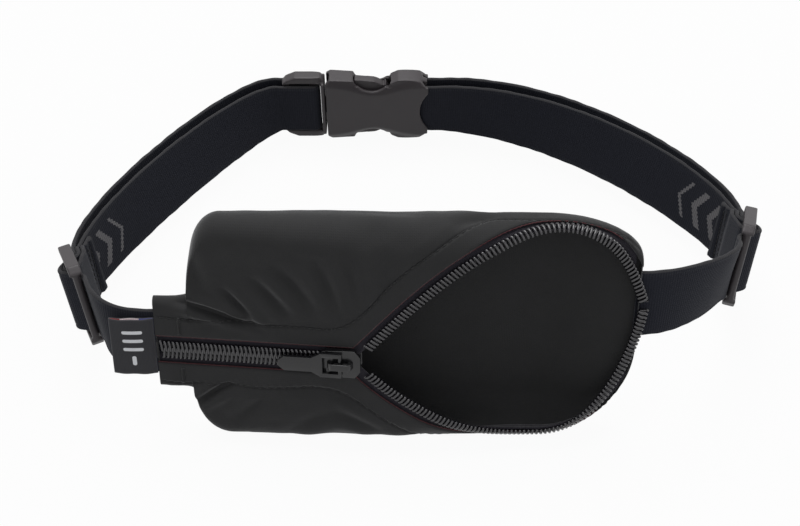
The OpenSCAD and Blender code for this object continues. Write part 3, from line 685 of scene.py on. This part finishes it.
def edge_thread(name, side, x0, x1):
    """The overlock thread that shows along the cut edge beside the zip."""
    x = np.linspace(x0, x1, 700)
    off = -0.38 + 0.06 * np.sin(x * 5)
    v = chain_edge(x, CHAIN_HALF, side, 1.5) - side * (0.52 + 0.06 * np.sin(x * 3.7))
    p, n = pouch_line(x, v, off)
    verts, faces = tube(p, 0.17, n, 5)
    make(name, in_pouch(verts), faces, RED_THREAD, "thread")


edge_thread("edge_thread_upper", 1, -83.9, 76)
edge_thread("edge_thread_lower", -1, -83.9, 72)


def bartack(side):
    z = np.linspace(-3, 3, 90) + ZIP_Z + side * 10
    x = -75.3 + 0.5 * np.sign(np.sin(np.arange(90) * math.pi * 0.5 + 0.4)) + rng.uniform(-0.04, 0.04, 90)
    p, n = pouch_line(x, z, relief(x[:, None], z[:, None], side)[:, 0] + 0.14)
    return tube(p, 0.21, n, 5)


verts, faces = joined([bartack(1), bartack(-1)])
make("bartacks", in_pouch(verts), faces, THREAD, "thread", ["bartacks"])


# ------------------------------------------------------------------ zip
def tape(name, side):
    x = [np.linspace(-83.6, SLIDER_FRONT, 90), np.linspace(SLIDER_FRONT, 81.5, 150)[1:]]
    x = np.concatenate(x)
    low, high = chain_edge(x, 2.0, side, 0.8), chain_edge(x, CHAIN_HALF + 3, side, 0.4)
    rows = 10
    v = low[:, None] + (high - low)[:, None] * np.linspace(0, 1, rows)[None, :]
    xx = np.repeat(x[:, None], rows, 1)
    outer, inner = skin(xx, v, -1.3), skin(xx, v, -1.85)
    grid = np.concatenate([outer, inner[:, ::-1]], 1)
    weave = np.stack([xx, v, 0 * v], -1)
    weave = np.concatenate([weave, weave[:, ::-1]], 1).reshape(-1, 3)
    faces = grid_faces(len(x), 2 * rows, wrap=True, flip=side < 0)
    make(name, in_pouch(grid.reshape(-1, 3)), faces, TAPE, "zip_tape", [name], weave=weave)


tape("zip_tape_upper", 1)
tape("zip_tape_lower", -1)
COIL_PITCH, COIL_REACH, COIL_WIRE_R = 1.5, 3.15, 0.54


def coil(name, side, line, start, end, nodes, phase=0.0, reach=-0.55):
    """Turns of the coil along a line in (x, v), from the line's middle out to its tape."""
    steps = 14
    run = distance_along(line)
    end = min(end, run[-1])
    turns = int((end - start) / COIL_PITCH)
    a = np.arange(turns * steps + 1) / steps
    along = start + a * COIL_PITCH + phase * COIL_PITCH
    angle = a * 2 * math.pi
    flat = 0.72
    c, s = np.cos(angle), np.sin(angle)
    w = (COIL_REACH + reach) / 2 + (COIL_REACH - reach) / 2 * np.sign(c) * np.abs(c) ** flat
    h = -0.25 + 0.5 * np.sign(s) * np.abs(s) ** flat
    along = along + 0.132 * COIL_PITCH * s
    x, v = np.interp(along, run, line[:, 0]), np.interp(along, run, line[:, 1])
    ahead = [np.interp(along + 0.5, run, q) - np.interp(along - 0.5, run, q) for q in line.T]
    ahead = np.stack(ahead, 1)
    ahead /= np.maximum(np.linalg.norm(ahead, axis=1), 1e-6)[:, None]
    normal = np.stack([-ahead[:, 1], ahead[:, 0]], 1) * side
    p = skin(x + normal[:, 0] * w, v + normal[:, 1] * w, h)
    centre = skin(x + normal[:, 0] * 1.3, v + normal[:, 1] * 1.3, np.full(len(x), -0.22))
    verts, faces = tube(p, COIL_WIRE_R, p - centre + 1e-4, 7)
    return make(name, in_pouch(verts), faces, COIL, "zip_coil", nodes)


closed_line = CHAIN[1][0]
ZIP_PIECES = {}
for side, word in ((1, "upper"), (-1, "lower")):
    shut, apart = f"zip_coil_{word}_closed", f"zip_coil_{word}_open"
    half_turn = 0.0 if side > 0 else 0.5
    ZIP_PIECES[word] = coil(shut, side, closed_line, 1.4, 65.6, [shut], phase=half_turn)
    coil(apart, side, CHAIN[side][1], 5.5, math.inf, [apart], reach=0.25)

# Each closed coil gets a mesh of its own
for piece in ZIP_PIECES.values():
    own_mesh(piece)


def end_stop():
    z = np.linspace(-3.2, 3.2, 60)
    x = -HALF_L + 0.45 + 0.4 * np.sign(np.sin(np.arange(60) * math.pi * 0.5 + 0.4))
    p, n = pouch_line(x, ZIP_Z + z, np.full(60, 0.35))
    return tube(p, 0.2, n, 5)


verts, faces = end_stop()
make("zip_end_stops", in_pouch(verts), faces, THREAD, "thread", ["zip_end_stops"])


# ------------------------------------------------------------------ moulded and cast pieces
def softened(node, material, body, width):
    """A copy of a CAD piece with its edges rounded."""
    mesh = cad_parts[node].data.copy()
    mesh.name = node + "_soft"
    mesh.materials.clear()
    mesh.materials.append(material)
    obj = bpy.data.objects.new(node + "_soft", mesh)
    bpy.context.scene.collection.objects.link(obj)
    bm = bmesh.new()
    bm.from_mesh(mesh)
    bmesh.ops.remove_doubles(bm, verts=bm.verts, dist=0.00002)
    bmesh.ops.dissolve_limit(bm, angle_limit=math.radians(3), verts=bm.verts, edges=bm.edges)
    bm.to_mesh(mesh)
    bm.free()
    bevel = obj.modifiers.new("edges", "BEVEL")
    bevel.width, bevel.segments = width / 1000, 3
    bevel.limit_method, bevel.angle_limit = "ANGLE", math.radians(28)
    bevel.use_clamp_overlap = True
    bevel.miter_outer = "MITER_ARC"
    view = bpy.context.evaluated_depsgraph_get()
    done = bpy.data.meshes.new_from_object(obj.evaluated_get(view))
    obj.modifiers.clear()
    obj.data = done
    done.materials.clear()
    done.materials.append(material)
    done.polygons.foreach_set("use_smooth", [True] * len(done.polygons))
    done.set_sharp_from_angle(angle=math.radians(40))
    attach(obj, body)
    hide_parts(node)
    return obj


def moulded(node, material, body, axes, voxel, rounds, shape=None):
    """A copy of a CAD piece as one soft-cornered moulding, remade in the piece's own axes."""
    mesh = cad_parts[node].data.copy()
    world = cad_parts[node].matrix_world.copy()
    mesh.name = node + "_soft"
    obj = bpy.data.objects.new(node + "_soft", mesh)
    bpy.context.scene.collection.objects.link(obj)
    mesh.transform(axes.inverted() @ world)
    remesh = obj.modifiers.new("remesh", "REMESH")
    remesh.mode, remesh.voxel_size = "VOXEL", voxel / 1000
    smooth = obj.modifiers.new("smooth", "SMOOTH")
    smooth.factor, smooth.iterations = 0.5, rounds
    view = bpy.context.evaluated_depsgraph_get()
    done = bpy.data.meshes.new_from_object(obj.evaluated_get(view))
    obj.modifiers.clear()
    obj.data = done
    count = len(done.vertices)
    points = np.empty(count * 3, np.float32)
    done.vertices.foreach_get("co", points)
    points = points.reshape(-1, 3).astype(float) * 1000
    if shape:
        points = shape(points)
    done.vertices.foreach_set("co", (points / 1000).astype(np.float32).ravel())
    layer = done.attributes.new("own", "FLOAT_VECTOR", "POINT")
    layer.data.foreach_set("vector", points.astype(np.float32).ravel())
    done.transform(axes)
    done.materials.clear()
    done.materials.append(material)
    done.polygons.foreach_set("use_smooth", [True] * len(done.polygons))
    done.update()
    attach(obj, body)
    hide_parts(node)
    return obj


BUCKLE_AXES = Matrix.Translation(to_row([-30.5, BACK_Y, BUCKLE_Z]).tolist())


def buckle_shape(p):
    """Draws the buckle's outline in to its waist and slopes its long edges."""
    x, y, z = p.T
    lobe = np.clip((x - 34.5) / 9.5, -1, 1)
    scale = np.interp(x, [-19, -13, -4, 0, 12, 24, 28, 31], [0.95, 1.0, 1.0, 0.995, 0.95, 0.86, 0.9, 0.965])
    scale = np.where(x > 28, np.maximum(scale, 0) * (1.03 - 0.1 * lobe**2), scale)
    keep = ease((np.abs(z) - 12.9) / 1.5)
    z = z * (1 + (scale - 1) * keep)
    waist = 13.2 - 4.6 * np.exp(-(((x - 21) / 11) ** 2))
    slope = ease((np.abs(z) - waist) / 4.5) * ease((x + 6) / 6)
    y = y * (1 - 0.24 * slope)
    return np.stack([x, y, z], 1)


def glide_axes(side, mirror):
    c = np.array(side[0]) * ([-1, 1, 1] if mirror else [1, 1, 1])
    heading = 180 - side[1] if mirror else side[1]
    m = Matrix.Rotation(math.radians(heading), 4, "Z") @ Matrix.Rotation(math.radians(side[2]), 4, "Y")
    return Matrix.Translation(to_row(c).tolist()) @ m


softened("zip_slider_body", SLIDER, "zip_slider", 0.35)
softened("zip_slider_bridge", SLIDER, "zip_slider", 0.28)
softened("zip_pull", SLIDER, "pull", 0.3)
moulded("left_tri_glide", PLASTIC, "belt", glide_axes(LEFT_SIDE, True), 0.28, 20)
moulded("right_tri_glide", PLASTIC, "belt", glide_axes(RIGHT_SIDE, False), 0.28, 20)
moulded("buckle_female", PLASTIC, "belt", BUCKLE_AXES, 0.34, 20, buckle_shape)
moulded("buckle_male_base", PLASTIC, "belt", BUCKLE_AXES, 0.34, 20, buckle_shape)
moulded("buckle_arm_upper", PLASTIC, "upper_arm", BUCKLE_AXES, 0.3, 14, buckle_shape)
moulded("buckle_arm_lower", PLASTIC, "lower_arm", BUCKLE_AXES, 0.3, 14, buckle_shape)


# ------------------------------------------------------------------ straps
def heading_way(side):
    h, f = math.radians(side[1]), math.radians(side[2])
    return np.array([math.cos(f) * math.cos(h), math.cos(f) * math.sin(h), -math.sin(f)])


def tab_point(side):
    lean = math.radians(LEAN)
    y = POUCH_Y + MID_D * math.cos(lean) + side[4] * math.sin(lean)
    z = FLOOR_Z - MID_D * math.sin(lean) + side[4] * math.cos(lean)
    return np.array([HALF_L, y, z])


def route_rings(route, t, offset, roll):
    """Middle line and upward direction of a strap that follows a route."""
    way = bezier_way(route, t)
    size = np.linalg.norm(way, axis=1)
    heading, fall = np.arctan2(way[:, 1], way[:, 0]), -np.arcsin(way[:, 2] / size)
    flat = np.stack([-np.sin(heading), np.cos(heading), 0 * heading], 1)
    rise = np.stack([np.sin(fall) * np.cos(heading), np.sin(fall) * np.sin(heading), np.cos(fall)], 1)
    c, s = np.cos(np.radians(roll))[:, None], np.sin(np.radians(roll))[:, None]
    inward, up = flat * c - rise * s, rise * c + flat * s
    return bezier(route, t) + offset[:, None] * inward, up


def arc(centre, r, start, stop, steps):
    a = np.radians(np.linspace(start, stop, steps))
    return np.stack([centre[0] + r * np.cos(a), centre[1] + r * np.sin(a)], 1)


def strap_path(side):
    """The whole strap of one side as (middle line, up), from the tab to the end of its hem."""
    way, centre = heading_way(side), np.array(side[0])
    glide = turn("Z", side[1]) @ turn("Y", side[2])
    start, stop = centre - GLIDE_HALF * way, centre + GLIDE_HALF * way
    end = np.array([side[3] + side[5], BACK_Y, BUCKLE_Z])
    anchor = [tab_point(side), tab_point(side) + [16, 0, 0], start - 12 * way, start]
    loop = [stop, stop + 25 * way, end + [side[6], 0, 0], end]
    pieces = []

    def through(points):
        points = np.array(points)
        flat = np.stack([points[:, 0], points[:, 1], 0 * points[:, 0]], 1)
        pieces.append((flat @ glide.T + centre, np.repeat(glide[:, 2][None], len(points), 0)))

    def follow(route, t, offset, roll):
        pieces.append(route_rings(route, t, offset, roll))

    lean = math.radians(LEAN)
    tilt = np.array([0, math.sin(lean), math.cos(lean)])
    inside = np.array([tab_point(side) - [1.2, 0, 0], tab_point(side) - [0.4, 0, 0]])
    pieces.append((inside, np.array([tilt, tilt])))
    t = np.linspace(0, 1, 60)[:-1]
    follow(anchor, t, RING_1 * ease(t), LEAN * (1 - ease(t)))
    cross = math.degrees(math.asin((RING_1 + RING_2) / PITCH))
    climb = math.degrees(math.asin((RING_3 - RING_1) / PITCH))
    through(np.concatenate([
        [[-GLIDE_HALF, RING_1]],
        arc((-PITCH, 0), RING_1, 90, 90 - cross, 10),
        arc((0, 0), RING_2, 270 - cross, 270 + cross, 16),
        arc((PITCH, 0), RING_1, 90 + cross, 90, 10),
    ]))
    t = np.linspace(0, 1, 170)
    full = np.sin(np.pi * t)
    follow(loop, t, RING_1 - 2 * RING_1 * ease(t) - SPREAD / 2 * full, -LOOP_LEAN * full)
    bar = np.array([side[3], BACK_Y, BUCKLE_Z])
    lead = side[5] * 0.5
    fold = np.concatenate([[[lead, RING_1]], arc((0, 0), RING_1, 90, 270, 24), [[lead, -RING_1]]])
    # the inward side of the loop faces the pouch, so the outer layer comes to the bar from behind
    fold = np.stack([fold[:, 0], fold[:, 1], 0 * fold[:, 0]], 1) + bar
    pieces.append((fold, np.repeat(np.array([[0, 0, 1.0]]), len(fold), 0)))
    t = t[::-1]
    full = np.sin(np.pi * t)
    inner_start = sum(len(p[0]) for p in pieces)
    follow(loop, t, RING_2 + (RING_1 - RING_2) * ease(t) + SPREAD / 2 * full, -LOOP_LEAN * full)
    inner_stop = sum(len(p[0]) for p in pieces)
    through(np.concatenate([
        arc((PITCH, 0), RING_2, 90, 90 + cross, 10), arc((0, 0), RING_1, 270 + cross, 90 + climb, 22),
        arc((PITCH, 0), RING_3, 90 + climb, 90, 8),
    ]))
    t = np.linspace(0, 0.4, 60)
    full = np.sin(np.pi * t)
    p, up = route_rings(loop, t, RING_3 + SPREAD / 2 * full, -LOOP_LEAN * full)
    keep = distance_along(bezier(loop, t)) <= FLAP_L - GLIDE_HALF + 0.01
    pieces.append((p[keep], up[keep]))
    points, ups = (np.concatenate(part) for part in zip(*pieces))
    return points, ups, inner_start, inner_stop


def even(points, up, step=0.9):
    """The same strap with its points an even step apart."""
    run = distance_along(points)
    good = np.concatenate([[True], np.diff(run) > 1e-6])
    run, points, up = run[good], points[good], up[good]
    s = np.linspace(0, run[-1], int(run[-1] / step))
    out = [np.stack([np.interp(s, run, q[:, k]) for k in range(3)], 1) for q in (points, up)]
    return s, out[0], out[1] / np.linalg.norm(out[1], axis=1)[:, None]


def strap(name, side, mirror, nodes):
    points, up, inner_start, inner_stop = strap_path(side)
    raw = distance_along(points)
    s, p, up = even(points, up)
    way = np.gradient(p, axis=0)
    way /= np.linalg.norm(way, axis=1)[:, None]
    normal = np.cross(up, way)
    normal /= np.linalg.norm(normal, axis=1)[:, None]
    across = 22
    half_t = STRAP_T / 2
    f = np.linspace(-1, 1, across)
    lane = np.sign(f) * (1 - (1 - np.abs(f)) ** 1.5) * (STRAP_W / 2 - 0.7)
    bead = 0.07 * np.exp(-(((np.abs(lane) - 11.9) / 0.5) ** 2))
    bead = bead - 0.09 * np.exp(-(((np.abs(lane) - 10.9) / 0.35) ** 2))
    edge = np.radians(np.linspace(90, -90, 7))[1:-1]
    rim, face = STRAP_W / 2 - 0.7 + 0.7 * np.cos(edge), half_t - 0.04
    ring_v = np.concatenate([lane, rim, lane[::-1], -rim])
    ring_n = np.concatenate([face + bead, face * np.sin(edge), -face - bead, -face * np.sin(edge)])
    wander = 0.16 * np.sin(s * 0.31) + 0.08 * np.sin(s * 0.93 + 1)
    vv = np.repeat(ring_v[None], len(s), 0) * (1 + 0.004 * np.sin(s * 0.8))[:, None]
    vv = np.clip(vv + wander[:, None] * 0.5, -STRAP_W / 2 - 0.2, STRAP_W / 2 + 0.2)
    nn = np.repeat(ring_n[None], len(s), 0)
    # the end of the hem is turned under, so its last few millimetres are thicker
    tail = s[-1] - s
    thick = 0.75 * ease(1 - (tail - 2.6) / 1.0) * ease(tail / 0.5)
    nn = np.where(nn > 0, nn + thick[:, None], nn)
    seam = 0.3 * np.exp(-(((tail - 3.9) / 0.4) ** 2))
    nn = np.where(nn > 0, nn - seam[:, None], nn)
    verts = p[:, None] + up[:, None] * vv[:, :, None] + normal[:, None] * nn[:, :, None]
    rings, count = vv.shape
    u = np.repeat(s[:, None], count, 1)
    middle = raw[inner_start] + (raw[inner_stop - 1] - raw[inner_start]) * 0.86
    on = ((s > raw[inner_start]) & (s < raw[inner_stop - 1]))[:, None] & (nn < 0)
    motif = np.stack([u - middle, vv, on.astype(float)], -1)
    verts = verts.reshape(-1, 3)
    if mirror:
        verts = verts * [-1, 1, 1]
    faces = grid_faces(rings, count, wrap=True, flip=not mirror)
    caps = [tuple(range(count)), tuple(len(verts) - count + k for k in range(count))]
    faces += [caps[0][::1 if not mirror else -1], caps[1][:: -1 if not mirror else 1]]
    weave, motif = np.stack([u, vv, nn], -1).reshape(-1, 3), motif.reshape(-1, 3)
    make(name, to_row(verts), faces, STRAP, "strap_elastic", nodes, weave=weave, motif=motif)
    # two rows of stitches across the end of the hem
    parts = []
    for back in (3.9, 6.1):
        k = int(np.argmin(np.abs(tail - back)))
        lanes = np.linspace(-11.6, 11.6, 40)
        line = p[k] + up[k] * lanes[:, None] + normal[k] * (half_t + 0.05)
        parts.append(stitch_mesh(line, np.repeat(normal[k][None], 40, 0), 1.7, 0.5, 0.16))
    v, f = joined(parts)
    if mirror:
        v, f = v * [-1, 1, 1], [face[::-1] for face in f]
    make(name + "_stitches", to_row(v), f, THREAD, "thread")


STRAP_NODES = ("anchor_strap", "strap_outer", "strap_inner", "strap_hem", "hem_flap", "buckle_fold")
strap("left_strap", LEFT_SIDE, True, ["left_" + n for n in STRAP_NODES])
strap("right_strap", RIGHT_SIDE, False, ["right_" + n for n in STRAP_NODES])


# ------------------------------------------------------------------ label
def label():
    """A woven strip sewn in at the left end and folded back on itself, its front layer bulged."""

    def bulge(x):
        return 0.9 * np.sin(np.pi * np.clip((x + 99.6) / 15.3, 0, 1))

    def sag(x, height):
        return 0.25 * np.sin(x * 0.35) * (height - 36) / 11

    half_thick, fold_x, back_d, front_d = 0.25, -99.4, 3.65, 2.95
    xs = np.linspace(-84.35, fold_x, 24)
    a = np.radians(np.linspace(90, -90, 9))[1:-1]
    line = np.concatenate([
        np.stack([xs, np.full(24, back_d)], 1),
        np.stack([fold_x - 0.35 * np.cos(a), 3.3 + 0.35 * np.sin(a)], 1),
        np.stack([xs[::-1], front_d - bulge(xs[::-1])], 1),
    ])
    way = np.gradient(line, axis=0)
    way /= np.linalg.norm(way, axis=1)[:, None]
    normal = np.stack([way[:, 1], -way[:, 0]], 1)
    z = np.linspace(25, 47, 26)
    count = 2 * len(z)
    layers = (
        ("woven_label", -half_thick, half_thick, LABEL, ["woven_label"]),
        ("woven_label_lining", -half_thick - 0.05, -half_thick - 0.01, LINING, ()),
    )
    for name, low, high, material, nodes in layers:
        verts = []
        for c, n in zip(line, normal):
            for off, height in [(high, h) for h in z] + [(low, h) for h in z[::-1]]:
                y = c[1] + n[1] * off + sag(c[0], height) * 0.4
                verts.append((c[0] + n[0] * off, y, height + 0.12 * math.sin(c[0] * 0.8)))
        verts = np.array(verts)
        faces = grid_faces(len(line), count, wrap=True)
        faces += [tuple(range(count))[::-1], tuple(len(verts) - count + k for k in range(count))]
        weave = np.stack([verts[:, 0], verts[:, 2], verts[:, 1]], 1)
        make(name, in_pouch(verts), faces, material, "label", nodes, weave=weave)


label()


# ------------------------------------------------------------------ room, light and camera
def light(name, place, target, size, energy):
    data = bpy.data.lights.new(name, "AREA")
    data.shape, data.size, data.energy = "SQUARE", size, energy
    obj = bpy.data.objects.new(name, data)
    obj.location = place
    obj.rotation_euler = (Vector(target) - Vector(place)).to_track_quat("-Z", "Y").to_euler()
    bpy.context.scene.collection.objects.link(obj)


def background_rays(tree):
    """1 for camera, glossy and transmission rays, which all have to see the white background."""
    rays = tree.nodes.new("ShaderNodeLightPath")
    total = rays.outputs["Is Camera Ray"]
    for name in ("Is Glossy Ray", "Is Transmission Ray"):
        add = tree.nodes.new("ShaderNodeMath")
        add.operation, add.use_clamp = "ADD", True
        tree.links.new(total, add.inputs[0])
        tree.links.new(rays.outputs[name], add.inputs[1])
        total = add.outputs[0]
    return total


world = bpy.data.worlds.new("room")
bpy.context.scene.world = world
world.use_nodes = True
tree = world.node_tree
tree.nodes.clear()
out = tree.nodes.new("ShaderNodeOutputWorld")
plain = tree.nodes.new("ShaderNodeBackground")
white = tree.nodes.new("ShaderNodeBackground")
mixer = tree.nodes.new("ShaderNodeMixShader")
plain.inputs[0].default_value = (0.92, 0.94, 1.0, 1)
plain.inputs[1].default_value = 0.3
white.inputs[0].default_value = (1, 1, 1, 1)
white.inputs[1].default_value = 1.0
tree.links.new(background_rays(tree), mixer.inputs[0])
tree.links.new(plain.outputs[0], mixer.inputs[1])
tree.links.new(white.outputs[0], mixer.inputs[2])
tree.links.new(mixer.outputs[0], out.inputs[0])

floor_mesh = bpy.data.meshes.new("floor")
floor_mesh.from_pydata([(-6, -6, 0), (6, -6, 0), (6, 6, 0), (-6, 6, 0)], [], [(0, 1, 2, 3)])
floor = bpy.data.objects.new("floor", floor_mesh)
bpy.context.scene.collection.objects.link(floor)
floor.location.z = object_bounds()[0][2] - 0.0002
floor_material, tree, bsdf = node_tree("floor")
bsdf.inputs["Base Color"].default_value = (0.6, 0.6, 0.6, 1)
bsdf.inputs["Roughness"].default_value = 0.9
bsdf.inputs["Specular IOR Level"].default_value = 0.0
glow = tree.nodes.new("ShaderNodeEmission")
blend = tree.nodes.new("ShaderNodeMixShader")
part = tree.nodes.new("ShaderNodeMath")
glow.inputs[0].default_value = (1, 1, 1, 1)
glow.inputs[1].default_value = 1.0
part.operation = "MULTIPLY"
part.inputs[1].default_value = 0.95
tree.links.new(background_rays(tree), part.inputs[0])
tree.links.new(part.outputs[0], blend.inputs[0])
tree.links.new(bsdf.outputs[0], blend.inputs[1])
tree.links.new(glow.outputs[0], blend.inputs[2])
tree.links.new(blend.outputs[0], tree.nodes["Material Output"].inputs[0])
floor_mesh.materials.append(floor_material)

light("key", (-0.15, 0.5, 1.25), (0, 0.0, 0.03), 0.9, 16)
light("front", (0.15, -1.1, 0.85), (0, 0, 0.04), 1.0, 2.4)
light("side", (0.9, 0.2, 0.7), (0, 0, 0.04), 0.7, 1.6)

camera_data = bpy.data.cameras.new("camera")
camera_data.lens = 56.9
camera_data.sensor_width = 36.0
camera_data.clip_start = 0.02
camera = bpy.data.objects.new("camera", camera_data)
bpy.context.scene.collection.objects.link(camera)
camera.location = (-0.0043, -0.3263, 0.3942)
camera.rotation_euler = (math.radians(90 - 50.13), 0, 0)
bpy.context.scene.camera = camera
bpy.context.scene.view_settings.view_transform = "Standard"
